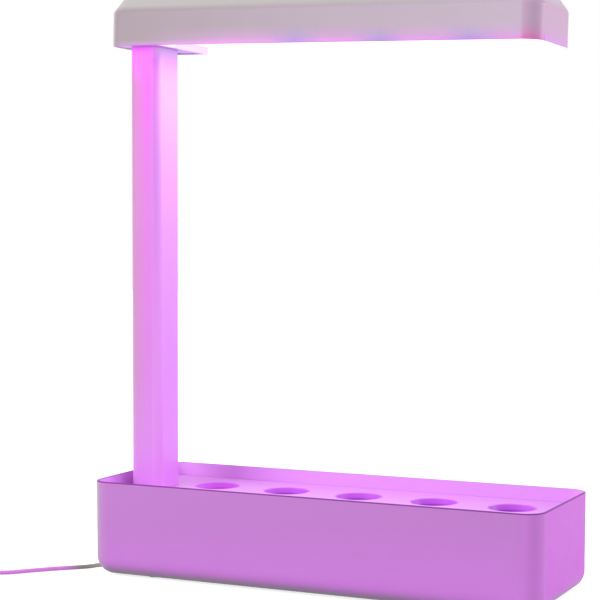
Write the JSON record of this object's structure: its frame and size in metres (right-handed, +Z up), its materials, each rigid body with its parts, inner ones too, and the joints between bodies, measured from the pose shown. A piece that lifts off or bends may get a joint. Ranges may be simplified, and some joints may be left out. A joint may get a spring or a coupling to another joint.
{
  "type": "indoor garden planter with grow light",
  "caption": "Countertop planter: a white moulded tub with a planting tray and slotted cups, and a mast that carries a long LED grow light over it; a supply cord leaves under the mast.",
  "frame": {"origin": "Middle of the tub's footprint, at the table.", "axes": "+X along the tub, away from the mast; +Y towards the back, where the row of cups is; +Z up."},
  "size_m": [0.706, 0.2535, 0.5588],
  "materials": {
    "housing": "pale warm grey moulded plastic, satin gloss",
    "tub_plastic": "lilac moulded plastic, satin gloss",
    "cup_plastic": "violet moulded plastic, matte",
    "mast_enamel": "lilac powder coat",
    "inner_plastic": "matte",
    "bare_aluminium": "plain sheet",
    "screw_steel": "zinc plated",
    "frosted_window": "frosted, lit from inside",
    "board_white": "white solder mask",
    "red_chip": "lit",
    "blue_chip": "lit",
    "foot_rubber": "matte",
    "cord_sheath": "soft grey-lilac sheath",
    "adapter_plastic": "pale grey moulded plastic",
    "pin_brass": "plated"
  },
  "bodies": {
    "root": {"planter_tub": "tub_plastic", "rubber_feet": "foot_rubber", "planting_tray": "tub_plastic", "planting_cup_1": "cup_plastic", "planting_cup_2": "cup_plastic", "planting_cup_3": "cup_plastic", "planting_cup_4": "cup_plastic", "planting_cup_5": "cup_plastic", "mast_tube": "mast_enamel", "mast_foot_plug": "inner_plastic", "foot_screws": "screw_steel", "mast_bracket": "bare_aluminium", "bracket_screws": "screw_steel", "head_shell": "housing", "lamp_bezel": "housing", "bezel_screws": "screw_steel", "diffuser": "frosted_window", "light_carrier": "bare_aluminium", "led_board": "board_white", "board_screws": "screw_steel", "red_leds": "red_chip", "blue_leds": "blue_chip", "light_driver": "inner_plastic", "mast_lead": "cord_sheath", "board_wires": "cord_sheath", "cord_strain_relief": "cord_sheath", "cord_tube": "cord_sheath", "cord_coil": "cord_sheath", "cord_tail": "cord_sheath", "cord_tie": "foot_rubber", "plug_adapter": "adapter_plastic", "plug_pins": "pin_brass"}
  },
  "joints": []
}
